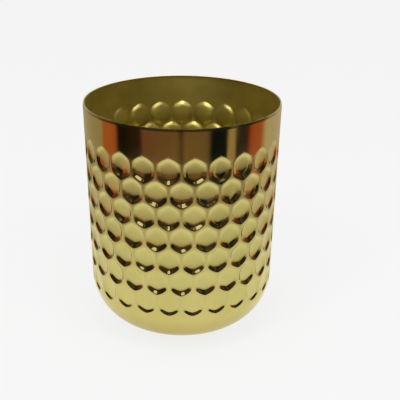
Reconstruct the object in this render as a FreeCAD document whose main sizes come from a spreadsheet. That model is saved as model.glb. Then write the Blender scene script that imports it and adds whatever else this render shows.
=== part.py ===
# Cachepot of brass sheet with a honeycomb-embossed wall.
# The wall is one sheet: a plain band at the mouth, seven rows of hexagonal dimples pressed in
# from outside, and a spun shoulder that ends in a flat foot ring. A raised disc closes the ring,
# and four thin pads stand under it.
# Millimetres, +Z up, origin on the pot's axis at the surface it stands on, -Y is the front.

import FreeCAD, Part
import math
import os
import Sketcher

Vector = FreeCAD.Vector

DRIVING_SIZES = (
    # the wall
    ("rim_radius", 70.0, "outside radius at the top of the plain band"),
    ("pot_height", 167.9, "rim above the table"),
    ("sheet_thickness", 0.8, "brass sheet of wall and disc"),
    ("wall_lean_angle", 1.44, "degrees that the wall narrows downwards, each side"),
    ("lip_height", 1.8, "height of the stretch at the rim that is turned in"),
    ("lip_lean", 0.4, "how far the rim is turned in"),
    ("shoulder_radius", 38.0, "outside radius of the spun shoulder"),
    ("foot_corner_radius", 5.0, "outside radius between shoulder and foot ring"),
    ("foot_radius", 38.0, "radius where the flat foot ring starts"),
    ("foot_opening_radius", 25.0, "opening in the foot ring"),
    # the honeycomb
    ("dimple_count", 25, "dimples in a row, around the pot"),
    ("first_row_drop", 29.33, "rim down to the middle of the top row"),
    ("row_pitch", 16.43, "from row to row, along the wall"),
    ("web_width", 1.2, "land left between two dimples"),
    ("dimple_depth", 1.8, "depth of a dimple at its floor"),
    ("dimple_slope_angle", 40.0, "degrees that the sides of a dimple slope from the wall"),
    ("last_row_depth", 1.2, "the same depth in the bottom row, which runs out on the shoulder"),
    ("last_row_tilt_angle", 2.5, "extra degrees that the bottom row faces down"),
    ("pattern_turn_angle", 7.1, "degrees from the front to the first dimple of the top row"),
    # the disc that closes the foot ring
    ("disc_edge_gap", 1.5, "room between the disc's edge and the foot corner"),
    ("disc_panel_radius", 21.0, "radius of the disc's raised middle, underneath"),
    ("disc_rise", 2.0, "height of the raised middle"),
    ("disc_slope_angle", 45.0, "degrees that the step around the middle slopes"),
    # the pads
    ("pad_radius", 4.5, "pad under the foot ring"),
    ("pad_thickness", 1.5, "gap that the pads leave under the foot ring"),
    ("pad_circle_radius", 31.5, "axis of the pot to the middle of a pad"),
    # the inside form
    ("overrun", 2.0, "how far the inside form reaches past the rim and the foot ring"),
)

ROW_COUNT = 7
PAD_ANGLES = {
    "foot_pad_front_left": 225,
    "foot_pad_front_right": 315,
    "foot_pad_back_right": 45,
    "foot_pad_back_left": 135,
}

doc = FreeCAD.newDocument("cachepot")
sizes = doc.addObject("Spreadsheet::Sheet", "sizes")
for line, (alias, value, note) in enumerate(DRIVING_SIZES, start=1):
    sizes.set("A%d" % line, alias)
    sizes.set("B%d" % line, str(value))
    sizes.set("C%d" % line, note)
    sizes.setAlias("B%d" % line, alias)
doc.recompute()


# Sketches

def origin_feature(body, role):
    """The origin plane or axis of a body that has this role."""
    return next(f for f in body.Origin.OriginFeatures if f.Role == role)


def new_sketch(body, name, role):
    """An empty sketch on one of the body's own upright planes: across it is level, and up is +Z."""
    sketch = body.newObject("Sketcher::SketchObject", name)
    sketch.AttachmentSupport = (origin_feature(body, role), [""])
    sketch.MapMode = "FlatFace"
    return sketch


def number(expression):
    """What an expression of the sheet's cells comes to."""
    result = sizes.evalExpression(expression)
    return getattr(result, "Value", result)


def bind(sketch, kind, places, name, expression):
    """A dimension of a sketch, bound to an expression of the sheet's cells."""
    datum = number(expression)
    if kind == "Angle":
        datum = math.radians(datum)
    index = sketch.addConstraint(Sketcher.Constraint(kind, *places, datum))
    sketch.renameConstraint(index, name)
    sketch.setExpression("Constraints." + name, expression)


def draw_polygon(sketch, corners):
    """A closed outline whose corners are each placed by two expressions; "0" puts one on the axis."""
    spots = [Vector(number(across), number(up), 0) for across, up in corners]
    for index, spot in enumerate(spots):
        sketch.addGeometry(Part.LineSegment(spots[index - 1], spot), False)
    for index, (across, up) in enumerate(corners):
        before = (index - 1) % len(corners)
        sketch.addConstraint(Sketcher.Constraint("Coincident", before, 2, index, 1))
        if across == "0":
            sketch.addConstraint(Sketcher.Constraint("PointOnObject", index, 2, -2))
        else:
            bind(sketch, "DistanceX", (-1, 1, index, 2), "across_%d" % index, across)
        bind(sketch, "DistanceY", (-1, 1, index, 2), "up_%d" % index, up)


def revolve(body, sketch, name, angle):
    """Turn a half section around the pot's axis, as far to each side of its plane."""
    feature = body.newObject("PartDesign::Revolution", name)
    feature.Profile = sketch
    feature.ReferenceAxis = (sketch, ["V_Axis"])
    feature.Midplane = True
    feature.setExpression("Angle", angle)
    return feature


# The wall's outline

LEAN = "(sizes.wall_lean_angle * 1 deg)"
LIP_ANGLE = "atan(sizes.lip_lean / sizes.lip_height)"
BAND_TOP = "(sizes.pot_height - sizes.lip_height)"


def shoulder_centre():
    """Centre of the shoulder's arc, which touches the wall's line and the foot corner's arc."""
    lean = math.radians(sizes.wall_lean_angle)
    downward = Vector(-math.sin(lean), -math.cos(lean), 0)
    outward = Vector(math.cos(lean), -math.sin(lean), 0)
    band_top = Vector(sizes.rim_radius, number(BAND_TOP), 0)
    corner = Vector(sizes.foot_radius, sizes.pad_thickness + sizes.foot_corner_radius, 0)
    start = band_top - outward * sizes.shoulder_radius - corner
    reach = sizes.shoulder_radius - sizes.foot_corner_radius
    along = start.dot(downward)
    travel = -along - math.sqrt(along ** 2 - start.Length ** 2 + reach ** 2)
    return corner + start + downward * travel


def draw_half_section(body, name, inset, rise):
    """Half section of the form that lies an inset inside the pot's outside.

    Without an inset it is closed at the foot, and with one it opens through the foot ring.
    rise is how far it reaches past the rim.
    """
    sketch = new_sketch(body, name, "XZ_Plane")
    lean = math.radians(sizes.wall_lean_angle)
    depth = number(inset)
    bend_x = f"sizes.rim_radius - {inset} * cos(({LEAN} - {LIP_ANGLE}) / 2) / cos(({LEAN} + {LIP_ANGLE}) / 2)"
    bend_z = f"{BAND_TOP} + {inset} * sin(({LEAN} - {LIP_ANGLE}) / 2) / cos(({LEAN} + {LIP_ANGLE}) / 2)"
    top_z = f"sizes.pot_height + {rise}"
    foot_z = f"sizes.pad_thickness + {inset}"

    corner = Vector(sizes.foot_radius, sizes.pad_thickness + sizes.foot_corner_radius, 0)
    centre = shoulder_centre()
    joint = (corner - centre).normalize()
    joint_angle = math.atan2(joint.y, joint.x)
    bend = Vector(number(bend_x), number(bend_z), 0)
    lip_run = (number(top_z) - bend.y) * sizes.lip_lean / sizes.lip_height
    rim = Vector(bend.x - lip_run, number(top_z), 0)
    outward = Vector(math.cos(lean), -math.sin(lean), 0)
    wall_foot = centre + outward * (sizes.shoulder_radius - depth)
    shoulder = Part.Circle(centre, Vector(0, 0, 1), sizes.shoulder_radius - depth)
    foot_corner = Part.Circle(corner, Vector(0, 0, 1), sizes.foot_corner_radius - depth)
    floor = Vector(sizes.foot_radius, number(foot_z), 0)
    floor_end = Vector(0, number(foot_z), 0)
    if depth:
        floor_end.x = sizes.foot_opening_radius

    lip = sketch.addGeometry(Part.LineSegment(bend, rim), False)
    wall = sketch.addGeometry(Part.LineSegment(wall_foot, bend), False)
    shoulder = sketch.addGeometry(Part.ArcOfCircle(shoulder, joint_angle, -lean), False)
    foot_corner = sketch.addGeometry(Part.ArcOfCircle(foot_corner, -math.pi / 2, joint_angle), False)
    foot = sketch.addGeometry(Part.LineSegment(floor_end, floor), False)
    top = sketch.addGeometry(Part.LineSegment(rim, Vector(0, rim.y, 0)), False)
    for rule in (
        ("Coincident", wall, 2, lip, 1),
        ("Tangent", shoulder, 2, wall, 1),
        ("Tangent", foot_corner, 2, shoulder, 1),
        ("Tangent", foot, 2, foot_corner, 1),
        ("Horizontal", foot),
        ("Coincident", lip, 2, top, 1),
        ("Horizontal", top),
        ("PointOnObject", top, 2, -2),
    ):
        sketch.addConstraint(Sketcher.Constraint(*rule))
    bind(sketch, "DistanceX", (-1, 1, lip, 1), "bend_radius", bend_x)
    bind(sketch, "DistanceY", (-1, 1, lip, 1), "bend_height", bend_z)
    bind(sketch, "DistanceY", (-1, 1, lip, 2), "top_height", top_z)
    bind(sketch, "Angle", (lip,), "lip_direction", f"90 deg + {LIP_ANGLE}")
    bind(sketch, "Angle", (wall,), "wall_direction", f"90 deg - {LEAN}")
    bind(sketch, "Radius", (shoulder,), "shoulder_radius", f"sizes.shoulder_radius - {inset}")
    bind(sketch, "Radius", (foot_corner,), "corner_radius", f"sizes.foot_corner_radius - {inset}")
    bind(sketch, "DistanceX", (-1, 1, foot, 2), "foot_radius", "sizes.foot_radius")
    bind(sketch, "DistanceY", (-1, 1, foot, 2), "foot_height", foot_z)

    axis_foot = floor_end
    below = foot
    if depth:
        # the form drops through the opening of the foot ring
        drop = Vector(floor_end.x, sizes.pad_thickness - sizes.overrun, 0)
        axis_foot = Vector(0, drop.y, 0)
        side = sketch.addGeometry(Part.LineSegment(drop, floor_end), False)
        below = sketch.addGeometry(Part.LineSegment(axis_foot, drop), False)
        sketch.addConstraint(Sketcher.Constraint("Coincident", side, 2, foot, 1))
        sketch.addConstraint(Sketcher.Constraint("Coincident", below, 2, side, 1))
        sketch.addConstraint(Sketcher.Constraint("Vertical", side))
        sketch.addConstraint(Sketcher.Constraint("Horizontal", below))
        bind(sketch, "DistanceX", (-1, 1, side, 1), "opening_radius", "sizes.foot_opening_radius")
        bind(sketch, "DistanceY", (below, 1, foot, 1), "drop", "sizes.sheet_thickness + sizes.overrun")
    axis = sketch.addGeometry(Part.LineSegment(axis_foot, Vector(0, rim.y, 0)), False)
    sketch.addConstraint(Sketcher.Constraint("Coincident", axis, 1, below, 1))
    sketch.addConstraint(Sketcher.Constraint("Coincident", axis, 2, top, 2))
    sketch.addConstraint(Sketcher.Constraint("PointOnObject", axis, 1, -2))
    return sketch


# The dimples

FIRST_ROW_HEIGHT = "(sizes.pot_height - sizes.first_row_drop)"
FIRST_ROW_RADIUS = f"(sizes.rim_radius - ({BAND_TOP} - {FIRST_ROW_HEIGHT}) * tan({LEAN}))"
PUNCH_START = "(sizes.web_width / 4)"
HALF_STEP = "(180 deg / sizes.dimple_count)"


def draw_cell(sketch, place, drop, pitch, growth):
    """A hexagonal cell, points up, drawn in by half a web and let out by growth."""
    flat = f"{pitch} / 2 - sizes.web_width / 2 + {growth}"
    slant = f"sqrt(({pitch} / 2) ^ 2 + sizes.row_pitch ^ 2) / 2 - sizes.web_width / 2 + {growth}"
    slant_angle = f"atan({pitch} / 2 / sizes.row_pitch)"
    angle = math.radians(number(slant_angle))
    half_width = number(flat)
    tip = number(slant) / math.cos(angle)
    side = tip - half_width * math.tan(angle)
    across = (0, half_width, half_width, 0, -half_width, -half_width)
    up = (tip, side, -side, -tip, -side, side)
    middle = Vector(0, -number(drop), 0)
    corners = [middle + Vector(x, y, 0) for x, y in zip(across, up)]
    lines = [
        sketch.addGeometry(Part.LineSegment(corner, corners[index - 5]), False)
        for index, corner in enumerate(corners)
    ]
    centre = sketch.addGeometry(Part.Point(middle), True)
    rules = [("Coincident", line, 2, lines[index - 5], 1) for index, line in enumerate(lines)]
    rules += [("Symmetric", lines[index], 1, lines[index + 3], 1, centre, 1) for index in range(3)]
    rules += [("Symmetric", lines[1], 1, lines[5], 1, -2)]
    rules += [("PointOnObject", lines[0], 1, -2), ("PointOnObject", centre, 1, -2)]
    if place == 0:
        rules += [("PointOnObject", centre, 1, -1)]
    for rule in rules:
        sketch.addConstraint(Sketcher.Constraint(*rule))
    if place:
        bind(sketch, "DistanceY", (centre, 1, -1, 1), "drop_%d" % place, drop)
    bind(sketch, "Distance", (centre, 1, lines[1]), "flat_%d" % place, flat)
    bind(sketch, "Distance", (centre, 1, lines[5]), "slant_%d" % place, slant)
    bind(sketch, "Angle", (lines[5],), "slant_angle_%d" % place, slant_angle)


def press_dimples(body, name, rows, side, inset):
    """Sink the dimples of some rows into the form that lies an inset inside the pot's outside.

    The cells are drawn on a plane along the wall, a little outside it, and side turns that plane
    by half steps of the pattern. The punch has sloping sides. Its floor and its sides lie deeper
    and wider by the inset, so that the sheet between two forms keeps its thickness.
    """
    last = rows[0] == ROW_COUNT - 1
    depth = "sizes.last_row_depth" if last else "sizes.dimple_depth"
    tilt = f"({LEAN} + sizes.last_row_tilt_angle * 1 deg)" if last else LEAN
    turn = f"({side} * {HALF_STEP})"
    travel = f"({rows[0]} * sizes.row_pitch)"
    height = f"({FIRST_ROW_HEIGHT} - {travel} * cos({LEAN}) - {PUNCH_START} * sin({tilt}))"
    reach = f"({FIRST_ROW_RADIUS} - {travel} * sin({LEAN}) + {PUNCH_START} * cos({tilt}))"
    growth = f"({PUNCH_START} / tan(sizes.dimple_slope_angle) + {inset} / sin(sizes.dimple_slope_angle))"
    spot = f"vector({reach} * sin({turn}); {height}; {reach} * cos({turn}))"
    facing = f"rotation(vector(0; 1; 0); {turn}) * rotation(vector(1; 0; 0); {tilt})"

    sketch = new_sketch(body, name + "_cells", "YZ_Plane")
    for place, row in enumerate(rows):
        radius = f"({FIRST_ROW_RADIUS} - {row} * sizes.row_pitch * sin({LEAN}))"
        pitch = f"(2 * pi * {radius} / sizes.dimple_count)"
        draw_cell(sketch, place, f"({row - rows[0]} * sizes.row_pitch)", pitch, growth)
    sketch.setExpression("AttachmentOffset", f"placement({spot}; {facing})")
    before = body.Shape.Volume
    pocket = body.newObject("PartDesign::Pocket", name)
    pocket.Profile = sketch
    pocket.setExpression("Length", f"{PUNCH_START} + {depth} + {inset}")
    pocket.setExpression("TaperAngle", "-(90 - sizes.dimple_slope_angle)")
    doc.recompute()
    if body.Shape.Volume >= before:
        raise RuntimeError(body.Label + ": " + name + " cuts nothing")


def make_form(label, inset, rise):
    """One column of the honeycomb as a slice of a solid form, an inset inside the pot's outside."""
    body = doc.addObject("PartDesign::Body", label)
    section = draw_half_section(body, "half_section", inset, rise)
    revolve(body, section, "spun_form", "2 * " + HALF_STEP)
    doc.recompute()
    upper_rows = range(ROW_COUNT - 1)
    press_dimples(body, "middle_dimples", upper_rows[0::2], 0, inset)
    press_dimples(body, "left_dimples", upper_rows[1::2], -1, inset)
    press_dimples(body, "right_dimples", upper_rows[1::2], 1, inset)
    press_dimples(body, "last_dimple", [ROW_COUNT - 1], 0, inset)
    return body


# The pieces

def make_honeycomb_wall():
    """The sheet between the embossed outside and the embossed inside, one column repeated around."""
    column = doc.addObject("Part::Cut", "wall_column")
    column.Base = make_form("outside_form", "0", "0")
    column.Tool = make_form("inside_form", "sizes.sheet_thickness", "sizes.overrun")
    doc.recompute()
    body = doc.addObject("PartDesign::Body", "honeycomb_wall")
    body.BaseFeature = column
    doc.recompute()
    around = body.newObject("PartDesign::PolarPattern", "columns_around")
    around.TransformMode = "Whole shape"
    around.Axis = (origin_feature(body, "Z_Axis"), [""])
    around.Angle = 360
    around.Refine = False
    around.setExpression("Occurrences", "sizes.dimple_count")
    body.Tip = around
    doc.recompute()
    body.Placement = FreeCAD.Placement(Vector(0, 0, 0), FreeCAD.Rotation(Vector(0, 0, 1), 1))
    body.setExpression("Placement.Rotation.Angle", "sizes.pattern_turn_angle - 90")
    return body


def make_base_disc():
    """A pressed disc that lies on the foot ring from inside, with its middle raised."""
    body = doc.addObject("PartDesign::Body", "base_disc")
    seat = "(sizes.pad_thickness + sizes.sheet_thickness)"
    raised = f"({seat} + sizes.disc_rise)"
    edge = "(sizes.foot_radius - sizes.disc_edge_gap)"
    step = "(sizes.disc_panel_radius + sizes.disc_rise / tan(sizes.disc_slope_angle))"
    bend = "sizes.sheet_thickness * tan(sizes.disc_slope_angle / 2)"
    sketch = new_sketch(body, "disc_section", "XZ_Plane")
    draw_polygon(sketch, (
        ("0", raised),
        ("sizes.disc_panel_radius", raised),
        (step, seat),
        (edge, seat),
        (edge, f"{seat} + sizes.sheet_thickness"),
        (f"{step} + {bend}", f"{seat} + sizes.sheet_thickness"),
        (f"sizes.disc_panel_radius + {bend}", f"{raised} + sizes.sheet_thickness"),
        ("0", f"{raised} + sizes.sheet_thickness"),
    ))
    revolve(body, sketch, "pressed_disc", "360 deg")
    return body


def make_foot_pad(label, angle):
    """A stick-on pad under the foot ring."""
    pad = doc.addObject("Part::Cylinder", label)
    pad.setExpression("Radius", "sizes.pad_radius")
    pad.setExpression("Height", "sizes.pad_thickness")
    pad.setExpression("Placement.Base.x", f"sizes.pad_circle_radius * cos({angle})")
    pad.setExpression("Placement.Base.y", f"sizes.pad_circle_radius * sin({angle})")
    return pad


pieces = [make_honeycomb_wall(), make_base_disc()]
pieces += [make_foot_pad(label, angle) for label, angle in PAD_ANGLES.items()]
doc.recompute()

for thing in doc.Objects:
    if "Invalid" in thing.State or "Error" in thing.State:
        raise RuntimeError(thing.Label + " failed")
for piece in pieces:
    if piece.Shape.isNull() or not piece.Shape.isValid():
        raise RuntimeError(piece.Label + " has no valid shape")

os.makedirs("parts", exist_ok=True)
for piece in pieces:
    piece.Shape.exportStep(os.path.join("parts", piece.Label + ".step"))
    print(piece.Label, len(piece.Shape.Solids), "solid", round(piece.Shape.Volume), "cubic mm")
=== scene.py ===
import bpy
import math
import random
from mathutils import Matrix, Vector


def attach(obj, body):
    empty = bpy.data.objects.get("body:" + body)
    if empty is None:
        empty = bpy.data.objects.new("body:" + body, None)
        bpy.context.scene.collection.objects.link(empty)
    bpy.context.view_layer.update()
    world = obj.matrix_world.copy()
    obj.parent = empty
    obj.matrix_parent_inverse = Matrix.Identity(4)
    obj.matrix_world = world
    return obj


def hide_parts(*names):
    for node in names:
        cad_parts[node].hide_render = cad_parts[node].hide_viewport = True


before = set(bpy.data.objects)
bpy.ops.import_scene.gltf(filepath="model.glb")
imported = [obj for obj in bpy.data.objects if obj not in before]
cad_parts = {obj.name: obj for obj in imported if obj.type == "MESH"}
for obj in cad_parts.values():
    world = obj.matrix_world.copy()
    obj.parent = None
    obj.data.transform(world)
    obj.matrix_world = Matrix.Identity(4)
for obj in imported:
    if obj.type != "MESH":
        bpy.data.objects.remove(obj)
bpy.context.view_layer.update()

# The wall
# One sheet of brass 0.8 mm thick. Seven rows of hexagonal dimples are pressed into it from outside,
# its lower end is spun in to a round shoulder and a flat foot ring, and its upper 2 mm are turned
# in at the raw rim. The outside is polished, and the inside keeps the satin of the spinning.

SHEET = 0.0008
RIM_RADIUS = 0.070
POT_HEIGHT = 0.1679
LIP_HEIGHT = 0.0018
LIP_LEAN = 0.0004
WALL_LEAN = math.radians(1.44)
SHOULDER_RADIUS = 0.038
FOOT_CORNER_RADIUS = 0.005
FOOT_RADIUS = 0.038
FOOT_HEIGHT = 0.0015
FOOT_OPENING_RADIUS = 0.025

CELLS_AROUND = 25
ROWS = 7
FIRST_ROW_DOWN = 0.02933
ROW_PITCH = 0.01643
HEXAGON_RADIUS = ROW_PITCH * 2 / 3
PATTERN_RADIUS = 0.0693
CELL_PITCH = 2 * math.pi * PATTERN_RADIUS / CELLS_AROUND
PATTERN_TURN = math.radians(7.1)
DIMPLE_DEPTH = 0.0018
LAST_ROW_DEPTH = 0.0012
LAST_ROW_STEEPNESS = 1.6
LAST_ROW_DIP = math.radians(2.5)
FLOOR_DISH = 0.00007
# The floors differ a little: mean and spread of their sway, their dip and their extra depth.
PRESS_SEED = 5
FLOOR_SWAY = (0, 0.012)
FLOOR_DIP = (0.035, 0.018)
FLOOR_EXTRA_DEPTH = (0, 0.00005)


def deselect_all():
    """Nothing stays selected, so that an operator acts only on what is picked next."""
    if bpy.context.object and bpy.context.object.mode != "OBJECT":
        bpy.ops.object.mode_set(mode="OBJECT")
    bpy.ops.object.select_all(action="DESELECT")


def pick(piece):
    """Make a piece the only one selected."""
    deselect_all()
    bpy.context.view_layer.objects.active = piece
    piece.select_set(True)


def press_one_cell():
    """A flat hexagon of sheet, points up, stepped down into a dimple by insets and rounded off."""
    deselect_all()
    bpy.ops.mesh.primitive_circle_add(vertices=6, radius=HEXAGON_RADIUS, fill_type="NGON")
    cell = bpy.context.object
    bpy.ops.object.mode_set(mode="EDIT")
    bpy.ops.mesh.select_all(action="SELECT")
    bpy.ops.transform.resize(value=(CELL_PITCH / (HEXAGON_RADIUS * math.sqrt(3)), 1, 1))
    bpy.ops.mesh.subdivide(number_cuts=3)
    # Run, drop, rounding and two scales of each step, from the middle of the web to the floor.
    for run, drop, rounding, across, along in (
        (0.00050, 0.00000, 0.50, 0.95, 0.99),
        (0.00030, 0.00006, 0.30, 0.98, 1.00),
        (0.00035, 0.00020, 0.20, 1.00, 1.00),
        (0.00060, 0.00035, 0.12, 1.00, 1.00),
        (0.00062, 0.00036, 0.10, 1.00, 1.00),
        (0.00052, 0.00028, 0.10, 1.00, 1.00),
        (0.00020, 0.00018, 0.15, 0.93, 0.93),
        (0.00010, 0.00017, 0.30, 0.84, 0.84),
        (0.00010, 0.00013, 0.40, 0.62, 0.62),
    ):
        bpy.ops.mesh.inset(thickness=run, depth=-drop)
        bpy.ops.transform.tosphere(value=rounding)
        bpy.ops.transform.resize(value=(across, along, 1))
    bpy.ops.mesh.poke(offset=-FLOOR_DISH)
    bpy.ops.object.mode_set(mode="OBJECT")
    return cell


def sheet_line(up):
    """Radius, height and downward turn of the sheet, so far up it from the top row's middle."""
    lean = Vector((math.sin(WALL_LEAN), math.cos(WALL_LEAN)))
    out = Vector((lean.y, -lean.x))
    first = Vector((0, POT_HEIGHT - FIRST_ROW_DOWN))
    first.x = RIM_RADIUS - (POT_HEIGHT - LIP_HEIGHT - first.y) * math.tan(WALL_LEAN)
    spot = first + lean * up
    if spot.y > POT_HEIGHT - LIP_HEIGHT:
        spot.x = RIM_RADIUS - (spot.y - POT_HEIGHT + LIP_HEIGHT) * LIP_LEAN / LIP_HEIGHT
        return spot.x, spot.y, -math.atan(LIP_LEAN / LIP_HEIGHT)
    # The shoulder's arc touches the wall's line and the foot corner's arc. It starts after the
    # travel down from the top row's middle.
    corner = Vector((FOOT_RADIUS, FOOT_HEIGHT + FOOT_CORNER_RADIUS))
    start = first - out * SHOULDER_RADIUS - corner
    along = start.dot(-lean)
    reach = SHOULDER_RADIUS - FOOT_CORNER_RADIUS
    travel = -along - math.sqrt(along ** 2 - start.length_squared + reach ** 2)
    centre = corner + start - lean * travel
    past = -up - travel
    if past <= 0:
        return spot.x, spot.y, WALL_LEAN
    turn_to_corner = math.acos((corner - centre).normalized().dot(out))
    past_shoulder = past - turn_to_corner * SHOULDER_RADIUS
    if past_shoulder <= 0:
        angle = WALL_LEAN + past / SHOULDER_RADIUS
        spot = centre + SHOULDER_RADIUS * Vector((math.cos(angle), -math.sin(angle)))
        return spot.x, spot.y, angle
    angle = WALL_LEAN + turn_to_corner
    turn = min(past_shoulder / FOOT_CORNER_RADIUS, math.pi / 2 - angle)
    past_corner = past_shoulder - turn * FOOT_CORNER_RADIUS
    angle += turn
    spot = corner + FOOT_CORNER_RADIUS * Vector((math.cos(angle), -math.sin(angle)))
    return max(spot.x - past_corner, FOOT_OPENING_RADIUS), spot.y, angle


def on_the_pot(around, up, drop):
    """Where a point of the flat sheet comes to lie, with the directions across, up and out."""
    radius, height, facing_down = sheet_line(up)
    turn = PATTERN_TURN + around / CELL_PITCH * 2 * math.pi / CELLS_AROUND
    across = Vector((math.cos(turn), math.sin(turn), 0))
    level = Vector((math.sin(turn), -math.cos(turn), 0))
    out = level * math.cos(facing_down) - Vector((0, 0, math.sin(facing_down)))
    return level * radius + Vector((0, 0, height)) - out * drop, across, out.cross(across), out


def wrap_the_sheet(sheet):
    """Wrap the flat honeycomb round the pot. The dimples' floors stay flat and lean a little."""
    hand = random.Random(PRESS_SEED)
    tilts = {}
    for point in sheet.data.vertices:
        around, up, drop = point.co.x, point.co.y, -point.co.z
        row = min(max(round(-up / ROW_PITCH), 0), ROWS - 1)
        if drop > 0:
            row = min(range(ROWS), key=lambda r: hex_distance(around, up, r))
        middle = round(around / CELL_PITCH - row / 2) * CELL_PITCH + row * CELL_PITCH / 2
        last = row == ROWS - 1
        # The deeper a point is pressed, the more it follows its floor instead of the round wall.
        share = min(drop / DIMPLE_DEPTH, 1)
        if last:
            share = 1 - (1 - share) ** LAST_ROW_STEEPNESS
            drop = share * LAST_ROW_DEPTH
        place = on_the_pot(around, up, drop)[0]
        column = round(middle / CELL_PITCH - row / 2) % CELLS_AROUND
        if (row, column) not in tilts:
            tilts[row, column] = (
                hand.gauss(*FLOOR_SWAY),
                hand.gauss(*FLOOR_DIP),
                hand.gauss(*FLOOR_EXTRA_DEPTH),
            )
        sideways, down, deeper = tilts[row, column]
        down += LAST_ROW_DIP if last else 0
        centre, across, upward, out = on_the_pot(middle, -row * ROW_PITCH, 0)
        scale = (centre.xy.length * 2 * math.pi / CELLS_AROUND) / CELL_PITCH
        beside, above = (around - middle) * scale, up + row * ROW_PITCH
        flat = centre + across * beside + upward * above
        flat -= out * (drop + share * deeper - beside * sideways - above * down)
        point.co = place.lerp(flat, share)


def hex_distance(around, up, row):
    """How far a point of the flat sheet is from the nearest dimple's middle in a row."""
    beside = around / CELL_PITCH - row / 2
    return math.hypot((beside - round(beside)) * CELL_PITCH, up + row * ROW_PITCH)


def lay_rings(sheet, levels, top):
    """Draw the open edge of the sheet on, ring by ring, up to the rim or down to the foot."""
    pick(sheet)
    bpy.ops.object.mode_set(mode="EDIT")
    bpy.ops.mesh.select_mode(type="EDGE")
    bpy.ops.mesh.select_all(action="DESELECT")
    bpy.ops.mesh.select_non_manifold(extend=False)
    bpy.ops.object.mode_set(mode="OBJECT")
    for edge in sheet.data.edges:
        height = sheet.data.vertices[edge.vertices[0]].co.z
        edge.select = edge.select and (height > POT_HEIGHT / 2) == top
    for point in sheet.data.vertices:
        point.select = False
    for edge in sheet.data.edges:
        if edge.select:
            for index in edge.vertices:
                sheet.data.vertices[index].select = True
    for up in levels:
        bpy.ops.object.mode_set(mode="EDIT")
        bpy.ops.mesh.extrude_edges_indiv()
        bpy.ops.object.mode_set(mode="OBJECT")
        radius, height = sheet_line(up)[:2]
        for point in sheet.data.vertices:
            if point.select:
                turn = math.atan2(point.co.x, -point.co.y)
                point.co = (radius * math.sin(turn), -radius * math.cos(turn), height)


SMOOTH_BELOW = math.radians(40)
CELL_SEAM = 0.00008
RING_SEAM = 0.00004
sheet = press_one_cell()
sheet.name = "honeycomb_sheet"
for count, step in (
    (CELLS_AROUND, (CELL_PITCH, 0, 0)),
    (ROWS, (CELL_PITCH / 2, -ROW_PITCH, 0)),
):
    bpy.ops.object.modifier_add(type="ARRAY")
    repeat = sheet.modifiers[-1]
    repeat.count = count
    repeat.use_relative_offset = False
    repeat.use_constant_offset = True
    repeat.constant_offset_displace = step
    bpy.ops.object.modifier_apply(modifier=repeat.name)
wrap_the_sheet(sheet)
bpy.ops.object.mode_set(mode="EDIT")
bpy.ops.mesh.select_all(action="SELECT")
bpy.ops.mesh.remove_doubles(threshold=CELL_SEAM)
bpy.ops.object.mode_set(mode="OBJECT")

# Rings of the plain band and of the lip, each so far up the sheet from the top row's middle, and
# then the rings of the shoulder down to the foot opening.
BAND_TOP = (FIRST_ROW_DOWN - LIP_HEIGHT) / math.cos(WALL_LEAN)
RIM_TOP = FIRST_ROW_DOWN / math.cos(WALL_LEAN)
SHOULDER_GAP = 0.0008
SHOULDER_STEP = 0.0024
band_rings = [0.0118, 0.0150, 0.0190, 0.0230, BAND_TOP - 0.0003, BAND_TOP - 0.00008]
lip_rings = [BAND_TOP + 0.00012, BAND_TOP + 0.0005, RIM_TOP - 0.0003, RIM_TOP]
lay_rings(sheet, band_rings + lip_rings, top=True)
shoulder_rings = [-(ROWS - 1) * ROW_PITCH - HEXAGON_RADIUS - SHOULDER_GAP]
while sheet_line(shoulder_rings[-1])[0] > FOOT_OPENING_RADIUS:
    shoulder_rings.append(shoulder_rings[-1] - SHOULDER_STEP)
lay_rings(sheet, shoulder_rings, top=False)

bpy.ops.object.mode_set(mode="EDIT")
bpy.ops.mesh.select_all(action="SELECT")
bpy.ops.mesh.remove_doubles(threshold=RING_SEAM)
bpy.ops.mesh.normals_make_consistent(inside=False)
bpy.ops.object.mode_set(mode="OBJECT")
bpy.ops.object.modifier_add(type="SOLIDIFY")
wall_thickness = sheet.modifiers[-1]
wall_thickness.thickness = SHEET
wall_thickness.offset = -1
wall_thickness.use_even_offset = True
wall_thickness.material_offset = 1
wall_thickness.material_offset_rim = 2


def new_finish(name, colour, metallic, roughness):
    """A material whose even values sit on the shader's own sockets."""
    finish = bpy.data.materials.new(name)
    finish.use_nodes = True
    shader = finish.node_tree.nodes["Principled BSDF"]
    shader.inputs["Base Color"].default_value = (*colour, 1)
    shader.inputs["Metallic"].default_value = metallic
    shader.inputs["Roughness"].default_value = roughness
    return finish


def add_noise(finish, stretch, detail):
    """Noise on the piece's own coordinates, stretched as the marks run."""
    tree = finish.node_tree
    place = tree.nodes.new("ShaderNodeTexCoord")
    scale = tree.nodes.new("ShaderNodeMapping")
    noise = tree.nodes.new("ShaderNodeTexNoise")
    scale.inputs["Scale"].default_value = stretch
    noise.inputs["Scale"].default_value = 1
    noise.inputs["Detail"].default_value = detail
    tree.links.new(place.outputs["Object"], scale.inputs["Vector"])
    tree.links.new(scale.outputs["Vector"], noise.inputs["Vector"])
    return noise.outputs["Fac"]


def remap(tree, value, low, high, start=0.0, end=1.0):
    """Go from start to end while a value goes from low to high, and never past them."""
    span = tree.nodes.new("ShaderNodeMapRange")
    span.inputs["From Min"].default_value = low
    span.inputs["From Max"].default_value = high
    span.inputs["To Min"].default_value = start
    span.inputs["To Max"].default_value = end
    tree.links.new(value, span.inputs["Value"])
    return span.outputs["Result"]


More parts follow.
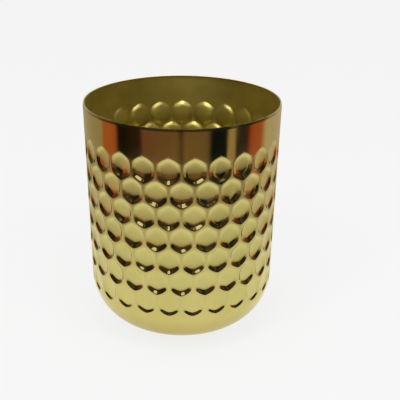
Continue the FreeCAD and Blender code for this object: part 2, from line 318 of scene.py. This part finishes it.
def ramp_of_colours(tree, value, stops):
    """Turn a value into a colour by stops, each with its place and colour, in rising order."""
    ramp = tree.nodes.new("ShaderNodeValToRGB")
    elements = ramp.color_ramp.elements
    elements.remove(elements[-1])
    elements[0].position = stops[0][0]
    for spot, colour in stops:
        stop = elements.new(spot) if spot > stops[0][0] else elements[0]
        stop.color = (*colour, 1)
    tree.links.new(value, ramp.inputs["Fac"])
    return ramp.outputs["Color"]


# Noise goes from 0 to 1, but most of it lies between these values.
FAINT_MARK = 0.3
STRONG_MARK = 0.7
DULL_MARK = 0.32
BRIGHT_MARK = 0.66


def vary(finish, marks, socket, low, high):
    """Let marks move a value of the shader between two values."""
    tree = finish.node_tree
    spread = remap(tree, marks, FAINT_MARK, STRONG_MARK, low, high)
    tree.links.new(spread, tree.nodes["Principled BSDF"].inputs[socket])


def tint(finish, marks, dull, bright):
    """Let marks move the colour between a dull and a bright one."""
    tree = finish.node_tree
    colour = ramp_of_colours(tree, marks, ((DULL_MARK, dull), (BRIGHT_MARK, bright)))
    tree.links.new(colour, tree.nodes["Principled BSDF"].inputs["Base Color"])


def emboss(finish, *layers):
    """Raise the surface by layers of marks, each with its strength and depth."""
    tree = finish.node_tree
    below = None
    for marks, strength, depth in layers:
        bump = tree.nodes.new("ShaderNodeBump")
        bump.inputs["Strength"].default_value = strength
        bump.inputs["Distance"].default_value = depth
        tree.links.new(marks, bump.inputs["Height"])
        if below:
            tree.links.new(below, bump.inputs["Normal"])
        below = bump.outputs["Normal"]
    tree.links.new(below, tree.nodes["Principled BSDF"].inputs["Normal"])


polished_brass = new_finish("polished_brass", (0.62, 0.55, 0.21), 1, 0.07)
polishing_lines = add_noise(polished_brass, (25, 25, 5200), 3)
smears = add_noise(polished_brass, (45, 45, 30), 4)
waves = add_noise(polished_brass, (70, 70, 16), 1)
tint(polished_brass, smears, (0.59, 0.52, 0.19), (0.65, 0.57, 0.22))
vary(polished_brass, smears, "Roughness", 0.06, 0.14)
emboss(polished_brass, (waves, 0.30, 0.0004), (polishing_lines, 0.05, 0.00003))

satin_brass = new_finish("satin_brass", (0.63, 0.53, 0.16), 1, 0.42)
spinning_lines = add_noise(satin_brass, (18, 18, 2600), 5)
cloudy = add_noise(satin_brass, (60, 60, 90), 3)
tint(satin_brass, cloudy, (0.56, 0.47, 0.13), (0.66, 0.56, 0.17))
vary(satin_brass, spinning_lines, "Roughness", 0.35, 0.47)
emboss(satin_brass, (spinning_lines, 0.32, 0.00006))

raw_edge = new_finish("raw_brass_edge", (0.55, 0.48, 0.26), 1, 0.24)
shear_marks = add_noise(raw_edge, (900, 900, 900), 2)
vary(raw_edge, shear_marks, "Roughness", 0.16, 0.32)
emboss(raw_edge, (shear_marks, 0.20, 0.00005))

for finish in (polished_brass, satin_brass, raw_edge):
    sheet.data.materials.append(finish)
bpy.ops.object.modifier_apply(modifier=wall_thickness.name)
bpy.ops.object.shade_smooth_by_angle(angle=SMOOTH_BELOW)
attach(sheet, "root")
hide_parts("honeycomb_wall")

# The base disc
# A disc of the same sheet, pressed with a slightly raised middle. It lies on the foot ring from
# inside and is brazed there. It is left satin.

DISC_RADIUS = 0.0365
DISC_TOP = 0.0031
deselect_all()
bpy.ops.mesh.primitive_circle_add(
    vertices=128, radius=DISC_RADIUS, fill_type="NGON", location=(0, 0, DISC_TOP)
)
bpy.ops.object.transform_apply(location=True)
disc = bpy.context.object
disc.name = "pressed_base_disc"
bpy.ops.object.mode_set(mode="EDIT")
bpy.ops.mesh.select_all(action="SELECT")
# Run and rise of each step, from the edge to the raised middle.
for run, rise in (
    (0.00040, 0.00000),
    (0.01180, 0.00000),
    (0.00050, 0.00008),
    (0.00040, 0.00024),
    (0.00130, 0.00136),
    (0.00040, 0.00024),
    (0.00050, 0.00008),
    (0.01000, 0.00000),
):
    bpy.ops.mesh.inset(thickness=run, depth=rise)
bpy.ops.object.mode_set(mode="OBJECT")
bpy.ops.object.modifier_add(type="SOLIDIFY")
disc_thickness = disc.modifiers[-1]
disc_thickness.thickness = SHEET
disc_thickness.offset = -1
bpy.ops.object.modifier_apply(modifier=disc_thickness.name)
bpy.ops.object.shade_smooth_by_angle(angle=SMOOTH_BELOW)

disc_brass = new_finish("satin_disc_brass", (0.56, 0.48, 0.16), 1, 0.36)
pressing_marks = add_noise(disc_brass, (420, 420, 420), 4)
tint(disc_brass, pressing_marks, (0.50, 0.42, 0.13), (0.60, 0.51, 0.18))
vary(disc_brass, pressing_marks, "Roughness", 0.30, 0.44)
emboss(disc_brass, (pressing_marks, 0.15, 0.00006))
disc.data.materials.append(disc_brass)
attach(disc, "root")
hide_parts("base_disc")

# The foot pads
# Four thin round stick-on pads of black rubber under the foot ring, which keep the brass off a
# table. They are the CAD's own meshes.

pad_rubber = new_finish("black_pad_rubber", (0.03, 0.03, 0.03), 0, 0.75)
rubber_grain = add_noise(pad_rubber, (1500, 1500, 1500), 3)
tint(pad_rubber, rubber_grain, (0.022, 0.022, 0.022), (0.045, 0.044, 0.042))
vary(pad_rubber, rubber_grain, "Roughness", 0.65, 0.85)
emboss(pad_rubber, (rubber_grain, 0.30, 0.00005))
for side in ("front_left", "front_right", "back_right", "back_left"):
    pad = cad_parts["foot_pad_" + side]
    for slot in pad.material_slots:
        slot.material = pad_rubber

# The ground
# A pale ground that runs on behind the pot. The camera sees it as an even white with some shadow.
# A pale round board about the pot glows with painted light instead of being lit, with a painted
# shadow under the pot. It fades out to its edge and shows only as a reflection in the brass.


def show_mix(tree, share, first, second):
    """Let a surface show one shader, and by a share another one instead."""
    mix = tree.nodes.new("ShaderNodeMixShader")
    tree.links.new(share, mix.inputs[0])
    tree.links.new(first.outputs[0], mix.inputs[1])
    tree.links.new(second.outputs[0], mix.inputs[2])
    tree.links.new(mix.outputs[0], tree.nodes["Material Output"].inputs["Surface"])


GROUND_SIZE = 12
# The white that the camera sees, and the share by which it covers the lit ground.
CAMERA_WHITE = 0.935
CAMERA_SHARE = 0.86
deselect_all()
bpy.ops.mesh.primitive_plane_add(size=GROUND_SIZE, location=(0, 0, 0))
ground = bpy.context.object
ground.name = "studio_ground"
pale_ground = new_finish("pale_ground", (0.86, 0.86, 0.86), 0, 0.9)
tree = pale_ground.node_tree
matt = tree.nodes["Principled BSDF"]
matt.inputs["Specular IOR Level"].default_value = 0
white = tree.nodes.new("ShaderNodeEmission")
white.inputs["Color"].default_value = (CAMERA_WHITE, CAMERA_WHITE, CAMERA_WHITE, 1)
seen = tree.nodes.new("ShaderNodeLightPath")
share = remap(tree, seen.outputs["Is Camera Ray"], 0.0, 1.0, end=CAMERA_SHARE)
show_mix(tree, share, matt, white)
ground.data.materials.append(pale_ground)
ground.visible_glossy = False

BOARD_RADIUS = 0.44
BOARD_HEIGHT = 0.0001
BOARD_FULL_WITHIN = 0.250
BOARD_GONE_AT = 0.430
board_glow = bpy.data.materials.new("pale_board_glow_painted_shadow")
board_glow.use_nodes = True
tree = board_glow.node_tree
place = tree.nodes.new("ShaderNodeTexCoord")
distance = tree.nodes.new("ShaderNodeVectorMath")
distance.operation = "LENGTH"
tree.links.new(place.outputs["Object"], distance.inputs[0])
reach = remap(tree, distance.outputs["Value"], BOARD_GONE_AT, BOARD_FULL_WITHIN)
# Distance from the pot's axis in metres, and the board's painted glow there. It is darker within 75
# mm of the axis, a painted shadow of the pot, and darker again towards 250 mm.
board_glow_with_painted_shadow = ramp_of_colours(tree, distance.outputs["Value"], (
    (0.050, (0.70, 0.66, 0.52)),
    (0.075, (0.92, 0.88, 0.76)),
    (0.110, (0.92, 0.91, 0.80)),
    (0.170, (0.84, 0.83, 0.77)),
    (0.200, (0.76, 0.75, 0.65)),
    (0.250, (0.65, 0.59, 0.48)),
    (1.000, (1.00, 1.00, 1.00)),
))
clear = tree.nodes.new("ShaderNodeBsdfTransparent")
# The board's brightness is painted light, an emission standing in for the lit ground, with the
# pot's painted shadow in its middle.
painted_glow = tree.nodes.new("ShaderNodeEmission")
tree.links.new(board_glow_with_painted_shadow, painted_glow.inputs["Color"])
show_mix(tree, reach, clear, painted_glow)
deselect_all()
bpy.ops.mesh.primitive_circle_add(
    vertices=96, radius=BOARD_RADIUS, fill_type="NGON", location=(0, 0, BOARD_HEIGHT)
)
board = bpy.context.object
board.name = "pale_round_board"
board.data.materials.append(board_glow)
board.visible_camera = False
board.visible_diffuse = False
board.visible_shadow = False

# The light
# Soft even light from all round falls on matt things. The brass reflects a room with coloured
# sides, dim above the horizon, with a pale backdrop high up behind the pot, and a few soft lamps.


def mix_colours(tree, share, first, second):
    """Mix two colours by a share. Each is three numbers or another node's output."""
    mix = tree.nodes.new("ShaderNodeMix")
    mix.data_type = "RGBA"
    tree.links.new(share, mix.inputs["Factor"])
    for colour, entry in ((first, mix.inputs["A"]), (second, mix.inputs["B"])):
        if isinstance(colour, tuple):
            entry.default_value = (*colour, 1)
        else:
            tree.links.new(colour, entry)
    return mix.outputs["Result"]


world = bpy.data.worlds.new("studio")
bpy.context.scene.world = world
world.use_nodes = True
tree = world.node_tree
direction = tree.nodes.new("ShaderNodeTexCoord")
parts = tree.nodes.new("ShaderNodeSeparateXYZ")
tree.links.new(direction.outputs["Generated"], parts.inputs[0])
around_room = tree.nodes.new("ShaderNodeTexGradient")
around_room.gradient_type = "RADIAL"
tree.links.new(direction.outputs["Generated"], around_room.inputs[0])
# Share of the way round the room, from its left over the front, the right and the back, and the
# colour of its side there.
room_sides = ramp_of_colours(tree, around_room.outputs["Fac"], (
    (0.000, (0.48, 0.125, 0.045)),
    (0.020, (0.40, 0.10, 0.04)),
    (0.033, (0.008, 0.006, 0.005)),
    (0.055, (0.012, 0.008, 0.006)),
    (0.080, (0.028, 0.013, 0.010)),
    (0.112, (0.035, 0.016, 0.012)),
    (0.125, (0.19, 0.080, 0.055)),
    (0.235, (0.18, 0.095, 0.055)),
    (0.248, (0.05, 0.025, 0.015)),
    (0.260, (0.22, 0.120, 0.065)),
    (0.330, (0.18, 0.105, 0.060)),
    (0.345, (0.004, 0.007, 0.010)),
    (0.395, (0.004, 0.009, 0.012)),
    (0.403, (0.44, 0.30, 0.19)),
    (0.423, (0.40, 0.27, 0.17)),
    (0.430, (0.020, 0.020, 0.022)),
    (0.475, (0.035, 0.018, 0.016)),
    (0.488, (0.40, 0.07, 0.03)),
    (0.535, (0.44, 0.12, 0.045)),
    (0.568, (0.60, 0.49, 0.40)),
    (0.750, (0.45, 0.38, 0.29)),
    (0.955, (0.38, 0.31, 0.22)),
    (0.963, (0.48, 0.125, 0.045)),
))

# Above the horizon the room is dim, with pale patches from about 30 degrees up. Behind the pot it
# has a backdrop, faint lower down and bright from the same 30 degrees up.
DIM = (0.022, 0.020, 0.014)
clutter = tree.nodes.new("ShaderNodeTexNoise")
clutter.inputs["Scale"].default_value = 3.2
clutter.inputs["Detail"].default_value = 2
tree.links.new(direction.outputs["Generated"], clutter.inputs["Vector"])
patches = ramp_of_colours(tree, clutter.outputs["Fac"], ((0.54, DIM), (0.66, (0.42, 0.42, 0.34))))
behind = remap(tree, parts.outputs["Y"], 0.60, 0.80)
low_room = mix_colours(tree, behind, DIM, (0.60, 0.56, 0.45))
high_room = mix_colours(tree, behind, patches, (2.8, 2.5, 2.0))
raised = remap(tree, parts.outputs["Z"], 0.42, 0.55)
upper_room = mix_colours(tree, raised, low_room, high_room)

# The sides show fully from 12 degrees below the horizon down, and a fifth of them above it. The
# ceiling is pale right overhead.
up_the_sides = remap(tree, parts.outputs["Z"], -0.20, 0.0, end=0.8)
room = mix_colours(tree, up_the_sides, room_sides, upper_room)
overhead = remap(tree, parts.outputs["Z"], 0.86, 0.95)
room_and_ceiling = mix_colours(tree, overhead, room, (0.8, 0.76, 0.65))

# Only reflections see the room. Everything else is lit by an even pale sky.
seen = tree.nodes.new("ShaderNodeLightPath")
sky = mix_colours(tree, seen.outputs["Is Glossy Ray"], (0.80, 0.80, 0.80), room_and_ceiling)
tree.links.new(sky, tree.nodes["Background"].inputs["Color"])

AIM_OF_LAMPS = Vector((0, 0, 0.08))
# Name, place, width across and power of each round lamp.
for name, spot, size, watts in (
    ("key_lamp", (-0.5, -0.6, 1.0), 0.10, 1.2),
    ("fill_lamp", (0.6, -0.5, 0.8), 0.08, 0.6),
    ("low_front_lamp", (-0.26, -1.0, 0.64), 0.46, 0.50),
    ("mouth_lamp", (0.0, -0.13, 0.31), 0.09, 0.22),
    ("top_lamp", (0.0, 0.2, 1.2), 0.6, 0.8),
):
    deselect_all()
    bpy.ops.object.light_add(type="AREA", location=spot)
    lamp = bpy.context.object
    lamp.name = name
    lamp.data.shape = "DISK"
    lamp.data.size = size
    lamp.data.energy = watts
    lamp.rotation_mode = "QUATERNION"
    lamp.rotation_quaternion = (Vector(spot) - AIM_OF_LAMPS).to_track_quat("Z", "Y")

# The camera
# It stands at the photographed angle, and its shift sets the pot a little left of the middle.

LOOK_DOWN = math.radians(21.95)
CAMERA_DISTANCE = 0.6736
AIM_HEIGHT = 0.0916
ROLL = math.radians(0.29)
SIDE_SHIFT = 0.0455
PIXELS_OF_FOCUS = 914.7
PICTURE_PIXELS = 400
SENSOR = 36
deselect_all()
bpy.ops.object.camera_add()
camera = bpy.context.object
camera.data.sensor_width = SENSOR
camera.data.lens = PIXELS_OF_FOCUS / PICTURE_PIXELS * SENSOR
camera.data.shift_x = SIDE_SHIFT
back = Vector((0, -math.cos(LOOK_DOWN), math.sin(LOOK_DOWN)))
camera.location = Vector((0, 0, AIM_HEIGHT)) + back * CAMERA_DISTANCE
camera.rotation_mode = "QUATERNION"
upright = (-back).to_track_quat("-Z", "Y")
camera.rotation_quaternion = upright @ Matrix.Rotation(ROLL, 4, "Z").to_quaternion()
bpy.context.scene.camera = camera
bpy.context.scene.view_settings.view_transform = "Standard"
